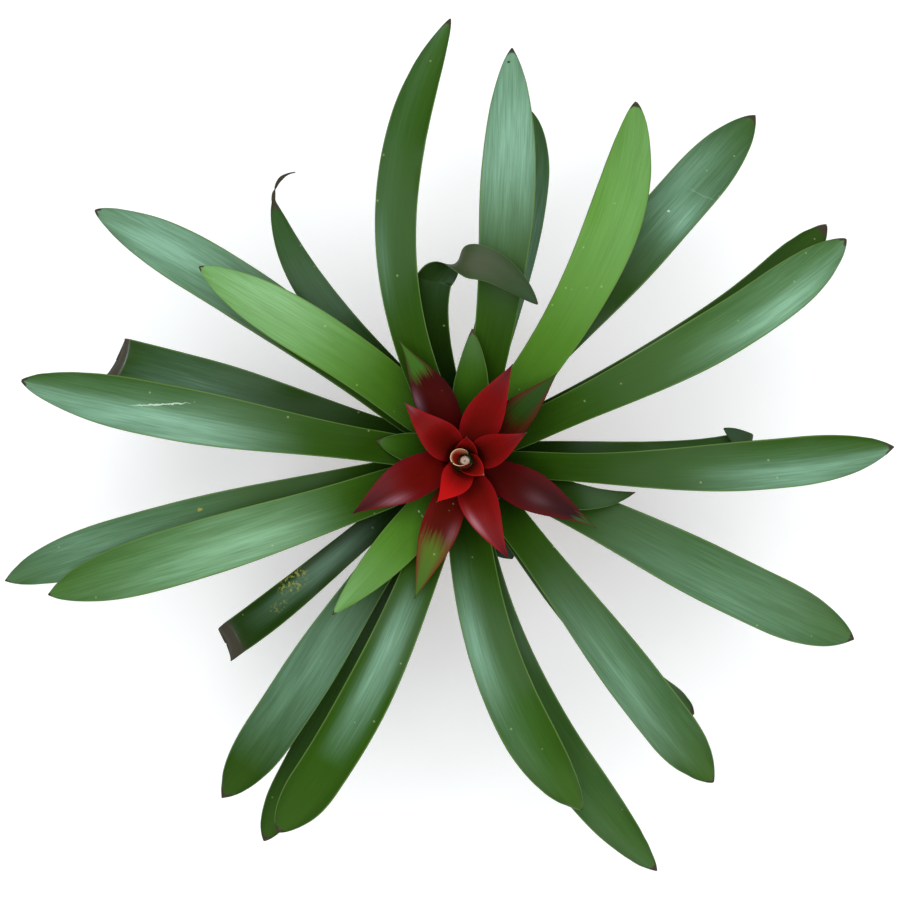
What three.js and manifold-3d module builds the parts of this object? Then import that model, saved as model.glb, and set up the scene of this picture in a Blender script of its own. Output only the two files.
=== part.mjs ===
// A potted bromeliad: a rosette of long strap leaves round a short stem, with short green leaves and
// a star of red bracts at its heart, growing in soil in a plain round nursery pot.
// Millimetres, +Z up. The origin is the middle of the pot's underside. The plant is laid out as it
// is seen from straight above: +X is its right and -Y its front.

import * as THREE from "three";
import { mergeVertices } from "three/addons/utils/BufferGeometryUtils.js";
import Module from "manifold-3d";

// Clear space left where two pieces touch, and what is added to it beside a faceted round wall.
const TOUCH_GAP = 0.3;
const FACET_GAP = 0.15;

// Pot: a thin moulded wall with a rolled rim, and drain holes in a ring round a solid middle.
const POT_HEIGHT = 98;
const POT_RIM_RADIUS = 55;
const POT_BASE_RADIUS = 39;
const POT_WALL = 2.4;
const POT_FLOOR = 3;
const POT_RIM_HEIGHT = 13;
const POT_RIM_STEP = 2.6;
const POT_EDGE = 1.2;
const POT_SIDES = 48;
const DRAIN_HOLES = 6;
const DRAIN_HOLE_RADIUS = 4;
const DRAIN_RING_RADIUS = 27;

// Soil: fills the pot to just under the rim, with a lumpy top that rounds off at the wall and a
// plain hole for the stem.
const SOIL_TOP = 87;
const SOIL_LUMP = 1;
const SOIL_ROUNDING = 1.5;
const SOIL_RINGS = 6;
const SOIL_SIDES = 36;

// Stem: the short thick stock that the leaves grow from, the slim stalk above it, and the cone of
// the flower head that carries the bracts. Each pair is a radius and a height.
const STOCK_RADIUS = 13.5;
const STALK_RADIUS = 5;
const STEM_PROFILE = [
  [11.0, 58],
  [STOCK_RADIUS, 64],
  [STOCK_RADIUS, 94],
  [5.5, 124],
  [STALK_RADIUS, 132],
  [STALK_RADIUS, 178],
  [11.0, 194],
  [3.6, 241],
  [3.2, 244],
];
const STEM_SIDES = 24;

// Bud: the closed flower bud in the innermost cup, a round-topped body. Each pair of its outline is
// a share of its radius and a share of its height.
const BUD_RADIUS = 3.2;
const BUD_HEIGHT = 17;
const BUD_SIDES = 16;
const BUD_OUTLINE = [
  [0, 0],
  [0.62, 0],
  [0.9, 0.22],
  [1, 0.5],
  [0.92, 0.75],
  [0.66, 0.92],
  [0.3, 0.99],
  [0, 1],
];

// Whorls, from the heart outwards. A leaf of a whorl is seated on the stem at seat, climbs beside
// it to exit (its distance from the stem's middle), and leaves there along a line that rises from
// start on the stem's middle at slope degrees. room is the width that a leaf has there for each mm
// from the middle, so that neighbours in a whorl stay apart.
const WHORLS = {
  bud_cup: { seat: 241, start: 231, slope: 74, exit: 6.3, room: 4.6 },
  small_cup: { seat: 234, start: 231, slope: 66, exit: 8, room: 3.2 },
  tall_cup: { seat: 227, start: 229, slope: 62, exit: 9.5, room: 3.4 },
  bright_bract: { seat: 220, start: 226, slope: 56, exit: 11.5, room: 2.4 },
  inner_bracts: { seat: 212, start: 222, slope: 50, exit: 13.5, room: 1.8 },
  middle_bracts: { seat: 204, start: 213, slope: 48, exit: 15, room: 1.45 },
  outer_bracts: { seat: 196, start: 203, slope: 48, exit: 16, room: 0.95 },
  short_leaves: { seat: 124, start: 172, slope: 52, exit: 14, room: 1.0 },
  first_leaves: { seat: 118, start: 165, slope: 48, exit: 24, room: 0.8 },
  second_leaves: { seat: 112, start: 158, slope: 44, exit: 27, room: 0.74 },
  third_leaves: { seat: 106, start: 151, slope: 40, exit: 30, room: 0.64 },
  fourth_leaves: { seat: 100, start: 144, slope: 36, exit: 32, room: 0.9 },
  fifth_leaves: { seat: 94, start: 137, slope: 32, exit: 34, room: 0.85 },
};

// Blades: a shallow channel runs along each one. A long leaf is narrow where it leaves the rosette
// and reaches its full width further out, between two distances from the stem's middle. The climb
// beside the stem starts upright, for a share of its height.
const TIP_THICKNESS = 0.8;
const TIP_WIDTH = 1.4;
const CHANNEL_RADIUS = 120;
const WAIST_END = 60;
const FULL_WIDTH_FROM = 185;
const CLIMB_STEPS = 3;
const CLIMB_UPRIGHT = 0.4;
const CURL_STEPS = 7;

// How each kind of blade is made: its thickness at the seat, how blunt its tip is (less is
// blunter), its columns across and its steps along, which lie closer together near the tip.
const LONG_STEPS = [0, 0.12, 0.27, 0.43, 0.59, 0.74, 0.86, 0.94, 0.98, 1];
const SHORT_STEPS = [0, 0.2, 0.4, 0.6, 0.78, 0.92, 1];
const LONG_BLADE = { thickness: 1.2, point: 0.7, columns: 4, steps: LONG_STEPS };
const SHORT_BLADE = { thickness: 1.2, point: 0.85, columns: 4, steps: SHORT_STEPS };
const BRACT_BLADE = { thickness: 0.9, point: 0.85, columns: 4, steps: SHORT_STEPS };
const CUP_BLADE = { ...BRACT_BLADE, columns: 8 };

// The leaves. Seen from above, the centre line of each one starts at the stem's middle and passes
// near and far, a third and two thirds of the way along, to its tip. height is its height halfway,
// width its greatest width and taper the length over which it narrows to the tip. A curl carries
// the end on past the tip while its side turns by some degrees, most of them at the start.
const LONG_LEAVES = [
  { name: "leaf_01", whorl: "first_leaves", near: [91, -5], far: [181, -3], tip: [281, 9, 222],
    height: 252, width: 32, waist: 0.58, taper: 80 },
  { name: "leaf_02", whorl: "first_leaves", near: [53, 69], far: [91, 144], tip: [110, 235, 226],
    height: 255, width: 36, waist: 0.72, taper: 105 },
  { name: "leaf_03", whorl: "first_leaves", near: [-37, 92], far: [-40, 188], tip: [-8, 295, 206],
    height: 257, width: 27, waist: 0.85, taper: 120 },
  { name: "leaf_04", whorl: "first_leaves", near: [-95, 15], far: [-188, 31], tip: [-293, 53, 214],
    height: 252, width: 35, waist: 0.62, taper: 86 },
  { name: "leaf_05", whorl: "first_leaves", near: [-33, -84], far: [-70, -164], tip: [-126, -253, 190],
    height: 245, width: 33, waist: 0.75, taper: 50 },
  { name: "leaf_06", whorl: "first_leaves", near: [54, -69], far: [106, -138], tip: [169, -218, 194],
    height: 245, width: 35, waist: 0.66, taper: 55 },
  { name: "leaf_07", whorl: "second_leaves", near: [87, 43], far: [170, 87], tip: [255, 148, 206],
    height: 238, width: 34, waist: 0.64, taper: 68 },
  { name: "leaf_08", whorl: "second_leaves", near: [21, 89], far: [28, 177], tip: [31, 275, 208],
    height: 235, width: 37, waist: 0.66, taper: 86 },
  { name: "leaf_09", whorl: "second_leaves", near: [-52, 50], far: [-109, 88], tip: [-171, 125, 238],
    height: 238, width: 35, waist: 0.9, taper: 92 },
  { name: "leaf_10", whorl: "second_leaves", near: [-90, -31], far: [-180, -60], tip: [-284, -93, 186],
    height: 232, width: 38, waist: 0.75, taper: 90 },
  { name: "leaf_11", whorl: "second_leaves", near: [8, -82], far: [32, -158], tip: [80, -236, 198],
    height: 236, width: 34, waist: 0.88, taper: 90 },
  { name: "leaf_12", whorl: "third_leaves", near: [65, 77], far: [127, 154], tip: [199, 239, 178],
    height: 218, width: 37, waist: 0.6, taper: 78 },
  { name: "leaf_13", whorl: "third_leaves", near: [-77, 62], far: [-158, 118], tip: [-255, 171, 178],
    height: 217, width: 37, waist: 0.75, taper: 88 },
  { name: "leaf_14", whorl: "third_leaves", near: [-104, -22], far: [-212, -47], tip: [-322, -84, 160],
    height: 215, width: 34, waist: 0.8, taper: 90 },
  { name: "leaf_15", whorl: "third_leaves", near: [-56, -74], far: [-109, -150], tip: [-170, -238, 158],
    height: 210, width: 35, waist: 0.6, taper: 68 },
  { name: "leaf_16", whorl: "third_leaves", near: [17, -103], far: [65, -197], tip: [141, -294, 140],
    height: 206, width: 34, waist: 0.85, taper: 120 },
  { name: "leaf_17", whorl: "third_leaves", near: [89, -37], far: [174, -80], tip: [273, -123, 168],
    height: 214, width: 38, waist: 0.7, taper: 72 },
  { name: "leaf_18", whorl: "fourth_leaves", near: [87, 45], far: [172, 95], tip: [259, 164, 146],
    height: 197, width: 28, waist: 0.8, taper: 50 },
  { name: "leaf_19", whorl: "fourth_leaves", near: [-12, 40], far: [-21, 80], tip: [-19, 117, 244],
    height: 200, width: 24, waist: 1, taper: 70,
    curl: { via: [6, 140, 270], end: [47, 100, 243], turn: 75 } },
  { name: "leaf_20", whorl: "fourth_leaves", near: [-77, 24], far: [-154, 43], tip: [-238, 64, 168],
    height: 198, width: 34, waist: 0.62, taper: 30,
    curl: { via: [-251, 68, 150], end: [-253, 69, 104], turn: 0 } },
  { name: "leaf_21", whorl: "fourth_leaves", near: [-54, -40], far: [-105, -81], tip: [-160, -124, 160],
    height: 190, width: 25, waist: 0.8, taper: 20,
    curl: { via: [-175, -136, 140], end: [-177, -138, 98], turn: 0 } },
  { name: "leaf_22", whorl: "fourth_leaves", near: [47, -65], far: [95, -125], tip: [165, -183, 140],
    height: 191, width: 22, waist: 0.9, taper: 33 },
  { name: "leaf_23", whorl: "fifth_leaves", near: [67, 3], far: [133, 2], tip: [196, 8, 150],
    height: 179, width: 23, waist: 0.9, taper: 55,
    curl: { via: [208, 4, 176], end: [176, 25, 168], turn: -23 } },
  { name: "leaf_24", whorl: "fifth_leaves", near: [19, 79], far: [37, 162], tip: [48, 253, 136],
    height: 183, width: 31, waist: 0.9, taper: 70 },
  { name: "leaf_25", whorl: "fifth_leaves", near: [-49, 56], far: [-98, 110], tip: [-131, 181, 170],
    height: 186, width: 23, waist: 0.9, taper: 105,
    curl: { via: [-132, 198.5, 168], end: [-118, 202, 160], turn: 130, width: 2.4 } },
  { name: "leaf_26", whorl: "fifth_leaves", near: [-44, -88], far: [-92, -176], tip: [-145, -278, 118],
    height: 179, width: 28, waist: 0.9, taper: 60 },
];

const SHORT_LEAVES = [
  { name: "short_leaf_1", whorl: "short_leaves", near: [3, 29], far: [5, 58], tip: [5, 86, 228],
    height: 215, width: 26, taper: 54 },
  { name: "short_leaf_2", whorl: "short_leaves", near: [-19, 5], far: [-39, 9], tip: [-58, 13, 220],
    height: 204, width: 23, taper: 34 },
  { name: "short_leaf_3", whorl: "short_leaves", near: [-27, -36], far: [-54, -68], tip: [-84, -100, 241],
    height: 233, width: 27, taper: 76 },
  { name: "short_leaf_4", whorl: "fifth_leaves", near: [12, -21], far: [22, -43], tip: [31, -67, 168],
    height: 159, width: 20, taper: 22 },
  { name: "short_leaf_5", whorl: "second_leaves", near: [39, -14], far: [75, -24], tip: [113, -20, 216],
    height: 208, width: 21, taper: 66 },
];

// Bracts: the coloured leaves of the flower head, laid out in the same way.
const BRACTS = [
  { name: "cup_bract_1", whorl: "bud_cup", near: [-3, 0], far: [-5.7, 0], tip: [-8, -1, 265],
    height: 246, width: 30, taper: 8 },
  { name: "cup_bract_2", whorl: "small_cup", near: [3.8, -2.5], far: [7.8, -5.5], tip: [12, -9, 262],
    height: 247, width: 26, taper: 14 },
  { name: "cup_bract_3", whorl: "tall_cup", near: [0.5, 6], far: [0.8, 12], tip: [1, 18, 262],
    height: 246, width: 32, taper: 20 },
  { name: "bract_01", whorl: "bright_bract", near: [-3.5, -8.3], far: [-9.5, -17], tip: [-18, -26, 260],
    height: 245, width: 32, taper: 34 },
  { name: "bract_02", whorl: "inner_bracts", near: [-12, 11], far: [-25, 23], tip: [-38, 37, 262],
    height: 251, width: 27, taper: 46 },
  { name: "bract_03", whorl: "inner_bracts", near: [13, 5], far: [26, 11], tip: [39, 18, 262],
    height: 249, width: 26, taper: 40 },
  { name: "bract_04", whorl: "middle_bracts", near: [9, 21], far: [19, 41], tip: [30, 61, 256],
    height: 243, width: 28, taper: 50 },
  { name: "bract_05", whorl: "middle_bracts", near: [-24, -7], far: [-48, -19], tip: [-72, -34, 250],
    height: 243, width: 28, taper: 46 },
  { name: "bract_06", whorl: "middle_bracts", near: [7, -21], far: [16, -42], tip: [28, -62, 252],
    height: 243, width: 27, taper: 50 },
  { name: "bract_07", whorl: "outer_bracts", near: [-13, 27], far: [-27, 53], tip: [-42, 77, 250],
    height: 238, width: 28, taper: 50 },
  { name: "bract_08", whorl: "outer_bracts", near: [29, -13], far: [57, -27], tip: [84, -43, 247],
    height: 238, width: 28, taper: 55 },
  { name: "bract_09", whorl: "outer_bracts", near: [-11, -30], far: [-22, -60], tip: [-32, -88, 247],
    height: 238, width: 26, taper: 55 },
  { name: "bract_10", whorl: "outer_bracts", near: [22, 19], far: [41, 37], tip: [59, 56, 246],
    height: 236, width: 25, taper: 50 },
];

const wasm = await Module();
wasm.setup();

const MATERIALS = {
  pot: new THREE.MeshStandardMaterial({ color: 0xa8583a, roughness: 0.75, metalness: 0 }),
  soil: new THREE.MeshStandardMaterial({ color: 0x33241a, roughness: 0.95, metalness: 0 }),
  stem: new THREE.MeshStandardMaterial({ color: 0x6f8a45, roughness: 0.6, metalness: 0 }),
  leaf: new THREE.MeshStandardMaterial({ color: 0x3f6b2a, roughness: 0.4, metalness: 0 }),
  bract: new THREE.MeshStandardMaterial({ color: 0x9c1f22, roughness: 0.4, metalness: 0 }),
  bud: new THREE.MeshStandardMaterial({ color: 0xc9a893, roughness: 0.5, metalness: 0 }),
};

function namedMesh(name, geometry, material) {
  const mesh = new THREE.Mesh(geometry, material);
  mesh.name = name;
  return mesh;
}

// A closed turned body about the Z axis from pairs of radius and height.
function turned(profile, sides) {
  const points = profile.map(([radius, height]) => new THREE.Vector2(radius, height));
  return new THREE.LatheGeometry(points, sides).rotateX(Math.PI / 2);
}

// A geometry as a solid that can be cut, and a cut solid as a geometry again.
function toSolid(geometry) {
  const bare = geometry.clone();
  bare.deleteAttribute("normal");
  bare.deleteAttribute("uv");
  const merged = mergeVertices(bare, 1e-3);
  return new wasm.Manifold(
    new wasm.Mesh({
      numProp: 3,
      vertProperties: merged.attributes.position.array,
      triVerts: new Uint32Array(merged.index.array),
    }),
  );
}

function toGeometry(solid) {
  const mesh = solid.getMesh();
  return new THREE.BufferGeometry()
    .setAttribute("position", new THREE.BufferAttribute(mesh.vertProperties, 3))
    .setIndex(new THREE.BufferAttribute(mesh.triVerts, 1));
}

// The pot's inner radius at a height: its wall is a straight taper below the rim.
function potInnerRadius(height) {
  const top = POT_RIM_RADIUS - POT_RIM_STEP;
  return THREE.MathUtils.mapLinear(height, 0, POT_HEIGHT, POT_BASE_RADIUS, top) - POT_WALL;
}

function makePot() {
  const rimFoot = POT_HEIGHT - POT_RIM_HEIGHT;
  const profile = [
    [0, 0],
    [POT_BASE_RADIUS - POT_EDGE, 0],
    [POT_BASE_RADIUS, POT_EDGE],
    [potInnerRadius(rimFoot) + POT_WALL, rimFoot],
    [POT_RIM_RADIUS - POT_EDGE / 2, rimFoot + POT_EDGE],
    [POT_RIM_RADIUS, POT_HEIGHT - POT_EDGE],
    [POT_RIM_RADIUS - POT_EDGE, POT_HEIGHT],
    [potInnerRadius(POT_HEIGHT) + POT_EDGE / 2, POT_HEIGHT],
    [potInnerRadius(POT_HEIGHT), POT_HEIGHT - POT_EDGE],
    [potInnerRadius(POT_FLOOR), POT_FLOOR],
    [0, POT_FLOOR],
  ];
  let pot = toSolid(turned(profile, POT_SIDES));
  for (let i = 0; i < DRAIN_HOLES; i++) {
    const angle = (i / DRAIN_HOLES) * 2 * Math.PI;
    const x = DRAIN_RING_RADIUS * Math.cos(angle);
    const y = DRAIN_RING_RADIUS * Math.sin(angle);
    const hole = new THREE.CylinderGeometry(DRAIN_HOLE_RADIUS, DRAIN_HOLE_RADIUS, 3 * POT_FLOOR, 16)
      .rotateX(Math.PI / 2)
      .translate(x, y, POT_FLOOR / 2);
    pot = pot.subtract(toSolid(hole));
  }
  return namedMesh("pot", toGeometry(pot), MATERIALS.pot);
}

function stemRadius(height) {
  const above = STEM_PROFILE.findIndex(([, level]) => level >= height);
  const [lowRadius, low] = STEM_PROFILE[above - 1];
  const [highRadius, high] = STEM_PROFILE[above];
  return THREE.MathUtils.mapLinear(height, low, high, lowRadius, highRadius);
}

function makeSoil() {
  const bottom = POT_FLOOR + TOUCH_GAP;
  const holeRadius = STOCK_RADIUS + TOUCH_GAP;
  const holeBottom = STEM_PROFILE[0][1] - TOUCH_GAP;
  const wallGap = TOUCH_GAP + FACET_GAP;
  const wallTop = SOIL_TOP - SOIL_ROUNDING;
  const profile = [
    [0, bottom],
    [potInnerRadius(bottom) - wallGap, bottom],
    [potInnerRadius(wallTop) - wallGap, wallTop],
  ];
  const edge = potInnerRadius(wallTop) - wallGap - SOIL_ROUNDING;
  for (let ring = 0; ring <= SOIL_RINGS; ring++) {
    profile.push([THREE.MathUtils.lerp(edge, holeRadius, ring / SOIL_RINGS), SOIL_TOP]);
  }
  profile.push([holeRadius, holeBottom], [0, holeBottom]);
  const geometry = turned(profile, SOIL_SIDES);

  // The top rises and falls in small lumps.
  const place = geometry.attributes.position;
  for (let i = 0; i < place.count; i++) {
    if (Math.abs(place.getZ(i) - SOIL_TOP) > 0.01) continue;
    const x = place.getX(i);
    const y = place.getY(i);
    const broad = Math.sin(0.31 * x + 1.7) * Math.cos(0.27 * y);
    const fine = Math.sin(0.63 * y + 0.21 * x);
    place.setZ(i, SOIL_TOP + SOIL_LUMP * (broad + 0.6 * fine));
  }
  return namedMesh("soil", geometry, MATERIALS.soil);
}

function makeStem() {
  const bottom = [0, STEM_PROFILE[0][1]];
  const top = [0, STEM_PROFILE.at(-1)[1]];
  return namedMesh("stem", turned([bottom, ...STEM_PROFILE, top], STEM_SIDES), MATERIALS.stem);
}

function makeBud() {
  const bottom = STEM_PROFILE.at(-1)[1] + TOUCH_GAP;
  const profile = BUD_OUTLINE.map(([across, up]) => [across * BUD_RADIUS, bottom + up * BUD_HEIGHT]);
  return namedMesh("bud", turned(profile, BUD_SIDES), MATERIALS.bud);
}

// The free part of a leaf's centre line: a cubic that passes near and far at a third and two
// thirds, leaves the stem's middle at the whorl's slope and is at the leaf's height halfway.
function bladeCurve(leaf, whorl) {
  const near = new THREE.Vector3(...leaf.near, 0);
  const far = new THREE.Vector3(...leaf.far, 0);
  const tip = new THREE.Vector3(...leaf.tip);
  const start = new THREE.Vector3(0, 0, whorl.start);
  const first = near.clone().multiplyScalar(3).addScaledVector(far, -1.5).addScaledVector(tip, 1 / 3);
  const second = far.clone().multiplyScalar(3).addScaledVector(near, -1.5).addScaledVector(tip, -5 / 6);
  first.z = 0;
  first.z = whorl.start + Math.tan(THREE.MathUtils.degToRad(whorl.slope)) * first.length();
  second.z = (8 * leaf.height - start.z - tip.z) / 3 - first.z;
  return new THREE.CubicBezierCurve3(start, first, second, tip);
}

// How far along its curve a blade reaches its whorl's exit distance from the stem's middle.
function exitPlace(blade, whorl) {
  let t = 0;
  while (distanceFromMiddle(blade.getPoint(t)) < whorl.exit) t += 0.002;
  return t;
}

function distanceFromMiddle(point) {
  return Math.hypot(point.x, point.y);
}

// The lower part, from the seat on the stem up to the point where the blade leaves the whorl.
function climbCurve(whorl, blade, exitAt, thickness) {
  const exit = blade.getPoint(exitAt);
  const outward = new THREE.Vector3(exit.x, exit.y, 0).normalize();
  const seatRadius = stemRadius(whorl.seat) + TOUCH_GAP + FACET_GAP + thickness / 2;
  const seat = outward.clone().multiplyScalar(seatRadius).setZ(whorl.seat);
  const aboveSeat = seat.clone().setZ(THREE.MathUtils.lerp(whorl.seat, exit.z, CLIMB_UPRIGHT));
  const tangent = blade.getTangent(exitAt);
  const halfway = (distanceFromMiddle(exit) - seatRadius) / 2;
  const beforeExit = exit.clone().addScaledVector(tangent, -halfway / Math.hypot(tangent.x, tangent.y));
  return new THREE.CubicBezierCurve3(seat, aboveSeat, beforeExit, exit);
}

// Cross-sections along a leaf: where each one is, which way it faces, and how wide, how thick and
// how strongly rolled about the stem it is.
function leafSections(leaf, kind) {
  const whorl = WHORLS[leaf.whorl];
  const blade = bladeCurve(leaf, whorl);
  const exitAt = exitPlace(blade, whorl);
  const climb = climbCurve(whorl, blade, exitAt, kind.thickness);

  const places = [];
  for (let i = 0; i < CLIMB_STEPS; i++) {
    const t = i / CLIMB_STEPS;
    places.push({ point: climb.getPoint(t), tangent: climb.getTangent(t), climbed: t });
  }
  for (const step of kind.steps) {
    const t = THREE.MathUtils.lerp(exitAt, 1, step);
    places.push({ point: blade.getPoint(t), tangent: blade.getTangent(t) });
  }
  if (leaf.curl) {
    const end = new THREE.Vector3(...leaf.curl.end);
    const via = new THREE.Vector3(...leaf.curl.via);
    const curl = new THREE.QuadraticBezierCurve3(blade.v3, via, end);
    for (let i = 1; i <= CURL_STEPS; i++) {
      const t = i / CURL_STEPS;
      places.push({ point: curl.getPoint(t), tangent: curl.getTangent(t), curled: t });
    }
  }

  // Length still to go to the end of the leaf, for the taper and the thickness. A leaf with a
  // thin withered tail tapers to the start of that tail.
  const left = places.map(() => 0);
  for (let i = places.length - 2; i >= 0; i--) {
    left[i] = left[i + 1] + places[i].point.distanceTo(places[i + 1].point);
  }
  const tailWidth = leaf.curl?.width;
  const tail = tailWidth ? left[places.length - 1 - CURL_STEPS] : 0;

  // A leaf faces straight away from the stem at its seat, and along its own line past the exit.
  const leaving = blade.getTangent(exitAt).setZ(0).normalize();
  let heading = leaving;
  return places.map(({ point, tangent, climbed, curled }, i) => {
    const distance = distanceFromMiddle(point);
    const outward = point.clone().setZ(0).normalize();
    if (climbed !== undefined) heading = outward.lerp(leaving, climbed);
    else if (!curled) heading = tangent.clone().setZ(0).normalize();
    const turn = curled ? THREE.MathUtils.degToRad(leaf.curl.turn * Math.sqrt(curled)) : 0;
    const facing = heading.clone().applyAxisAngle(new THREE.Vector3(0, 0, 1), turn);
    const rough = new THREE.Vector3(facing.y, -facing.x, 0);
    const normal = rough.clone().cross(tangent).normalize();
    const side = tangent.clone().cross(normal).normalize();
    const grown = THREE.MathUtils.smoothstep(distance, WAIST_END, FULL_WIDTH_FROM);
    const full = leaf.width * THREE.MathUtils.lerp(leaf.waist ?? 1, 1, grown);
    const narrowed = (full ** -4 + (whorl.room * distance) ** -4) ** -0.25;
    const bladeLeft = Math.min(1, Math.max(0, left[i] - tail) / leaf.taper);
    const tapered = Math.sin((Math.PI / 2) * bladeLeft ** kind.point);
    return {
      point,
      side,
      normal,
      width: Math.max(tailWidth ?? TIP_WIDTH, narrowed * tapered),
      thickness: THREE.MathUtils.lerp(TIP_THICKNESS, kind.thickness, left[i] / left[0]),
      roll: Math.max(Math.min(1, whorl.exit / distance) / distance, 1 / CHANNEL_RADIUS),
    };
  });
}

// A closed blade through its cross-sections. Both faces are split into triangles alike.
function bladeGeometry(sections, columns) {
  const vertices = [];
  for (const { point, side, normal, width, thickness, roll } of sections) {
    for (const face of [1, -1]) {
      for (let j = 0; j <= columns; j++) {
        const angle = (j / columns - 0.5) * width * roll;
        const radius = 1 / roll - (face * thickness) / 2;
        const across = radius * Math.sin(angle);
        const rise = 1 / roll - radius * Math.cos(angle);
        vertices.push(...point.clone().addScaledVector(side, across).addScaledVector(normal, rise));
      }
    }
  }

  const row = 2 * (columns + 1);
  const top = (i, j) => i * row + j;
  const under = (i, j) => i * row + columns + 1 + j;
  const faces = [];
  const last = sections.length - 1;
  for (let i = 0; i < last; i++) {
    for (let j = 0; j < columns; j++) {
      faces.push(top(i, j), top(i, j + 1), top(i + 1, j));
      faces.push(top(i, j + 1), top(i + 1, j + 1), top(i + 1, j));
      faces.push(under(i, j), under(i + 1, j), under(i, j + 1));
      faces.push(under(i, j + 1), under(i + 1, j), under(i + 1, j + 1));
    }
    faces.push(under(i, 0), top(i, 0), under(i + 1, 0));
    faces.push(top(i, 0), top(i + 1, 0), under(i + 1, 0));
    faces.push(under(i, columns), under(i + 1, columns), top(i, columns));
    faces.push(top(i, columns), under(i + 1, columns), top(i + 1, columns));
  }
  for (let j = 0; j < columns; j++) {
    faces.push(under(0, j), under(0, j + 1), top(0, j));
    faces.push(under(0, j + 1), top(0, j + 1), top(0, j));
    faces.push(under(last, j), top(last, j), under(last, j + 1));
    faces.push(under(last, j + 1), top(last, j), top(last, j + 1));
  }
  return new THREE.BufferGeometry()
    .setAttribute("position", new THREE.Float32BufferAttribute(vertices, 3))
    .setIndex(faces);
}

function makeBlade(leaf, kind, material) {
  return namedMesh(leaf.name, bladeGeometry(leafSections(leaf, kind), kind.columns), material);
}

// The bracts that wrap far round the bud are split into more columns.
function makeBract(bract) {
  const kind = WHORLS[bract.whorl].room > 2 ? CUP_BLADE : BRACT_BLADE;
  return makeBlade(bract, kind, MATERIALS.bract);
}

const plant = new THREE.Group();
plant.add(makePot(), makeSoil(), makeStem(), makeBud());
plant.add(...LONG_LEAVES.map((leaf) => makeBlade(leaf, LONG_BLADE, MATERIALS.leaf)));
plant.add(...SHORT_LEAVES.map((leaf) => makeBlade(leaf, SHORT_BLADE, MATERIALS.leaf)));
plant.add(...BRACTS.map(makeBract));

export default plant;
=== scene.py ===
"""A potted bromeliad: its pot, soil, stem, leaves, bracts and bud, on a pale studio floor."""
import math
import random

import bpy
from mathutils import Matrix, Vector, noise


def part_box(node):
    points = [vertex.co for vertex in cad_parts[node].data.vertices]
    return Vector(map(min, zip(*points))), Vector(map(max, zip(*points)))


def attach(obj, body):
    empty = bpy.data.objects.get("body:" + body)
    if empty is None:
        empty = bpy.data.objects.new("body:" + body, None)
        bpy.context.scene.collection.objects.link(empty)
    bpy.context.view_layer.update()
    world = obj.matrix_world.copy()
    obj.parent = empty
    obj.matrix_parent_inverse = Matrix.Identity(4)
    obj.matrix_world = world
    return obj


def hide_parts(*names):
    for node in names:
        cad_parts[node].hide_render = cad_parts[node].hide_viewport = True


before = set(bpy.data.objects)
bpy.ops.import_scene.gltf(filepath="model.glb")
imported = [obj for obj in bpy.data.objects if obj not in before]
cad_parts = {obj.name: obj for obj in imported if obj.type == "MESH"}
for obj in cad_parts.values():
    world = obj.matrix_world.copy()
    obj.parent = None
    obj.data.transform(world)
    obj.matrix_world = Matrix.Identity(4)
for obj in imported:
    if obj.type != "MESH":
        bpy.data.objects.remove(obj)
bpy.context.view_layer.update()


# Pot
# A moulded plastic nursery pot: a thin tapered wall, a stepped rim with rounded edges and a flat
# floor with a ring of drain holes. The leaves hide it in the photograph, so it is a plain one.
MM = 0.001
POT_RIM_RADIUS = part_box("pot")[1].x / MM
POT_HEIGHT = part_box("pot")[1].z / MM
POT_BASE_RADIUS = 39
POT_RIM_STEP = 2.6
POT_RIM_HEIGHT = 13
POT_WALL = 2.4
POT_FLOOR = 3
POT_EDGE = 1.2
POT_SIDES = 120
POT_CREASE = 35
DRAIN_HOLES = 6
DRAIN_HOLE_RADIUS = 4
DRAIN_RING_RADIUS = 27
DRAIN_HOLE_SIDES = 28


def pot_radius(height):
    """The outside of the tapered wall at a height."""
    top = POT_RIM_RADIUS - POT_RIM_STEP
    return POT_BASE_RADIUS + (top - POT_BASE_RADIUS) * height / POT_HEIGHT


def raise_rings(name, outline, sides):
    """A closed round body raised ring by ring, from pairs of radius and height in millimetres."""
    bpy.ops.object.select_all(action="DESELECT")
    radius, height = outline[0]
    bpy.ops.mesh.primitive_circle_add(vertices=sides, radius=radius * MM, location=(0, 0, height * MM))
    body = bpy.context.object
    body.name = body.data.name = name
    bpy.ops.object.transform_apply(location=True)
    bpy.ops.object.mode_set(mode="EDIT")
    bpy.ops.mesh.select_all(action="SELECT")
    for wider, higher in outline[1:]:
        rise = (0, 0, (higher - height) * MM)
        bpy.ops.mesh.extrude_region_move(TRANSFORM_OT_translate={"value": rise})
        growth = wider / radius
        bpy.ops.transform.resize(value=(growth, growth, 1), center_override=(0, 0, higher * MM))
        radius, height = wider, higher
    bpy.ops.mesh.edge_face_add()
    bpy.ops.mesh.select_all(action="DESELECT")
    bpy.ops.mesh.select_non_manifold()
    bpy.ops.mesh.edge_face_add()
    bpy.ops.mesh.select_all(action="SELECT")
    bpy.ops.mesh.normals_make_consistent(inside=False)
    bpy.ops.object.mode_set(mode="OBJECT")
    return body


def add_node(tree, kind, inputs=None, **settings):
    """A shader node with its settings and inputs. An input is a value, or the socket that feeds it."""
    made = tree.nodes.new(kind)
    for key, value in settings.items():
        setattr(made, key, value)
    for key, value in (inputs or {}).items():
        if isinstance(value, bpy.types.NodeSocket):
            tree.links.new(value, made.inputs[key])
        else:
            made.inputs[key].default_value = value
    return made


def paint(red, green, blue):
    """A colour as it is seen, from 0 to 255, as the light that it reflects."""
    shares = [channel / 255 for channel in (red, green, blue)]
    return (*[s / 12.92 if s <= 0.04045 else ((s + 0.055) / 1.055) ** 2.4 for s in shares], 1)


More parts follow.
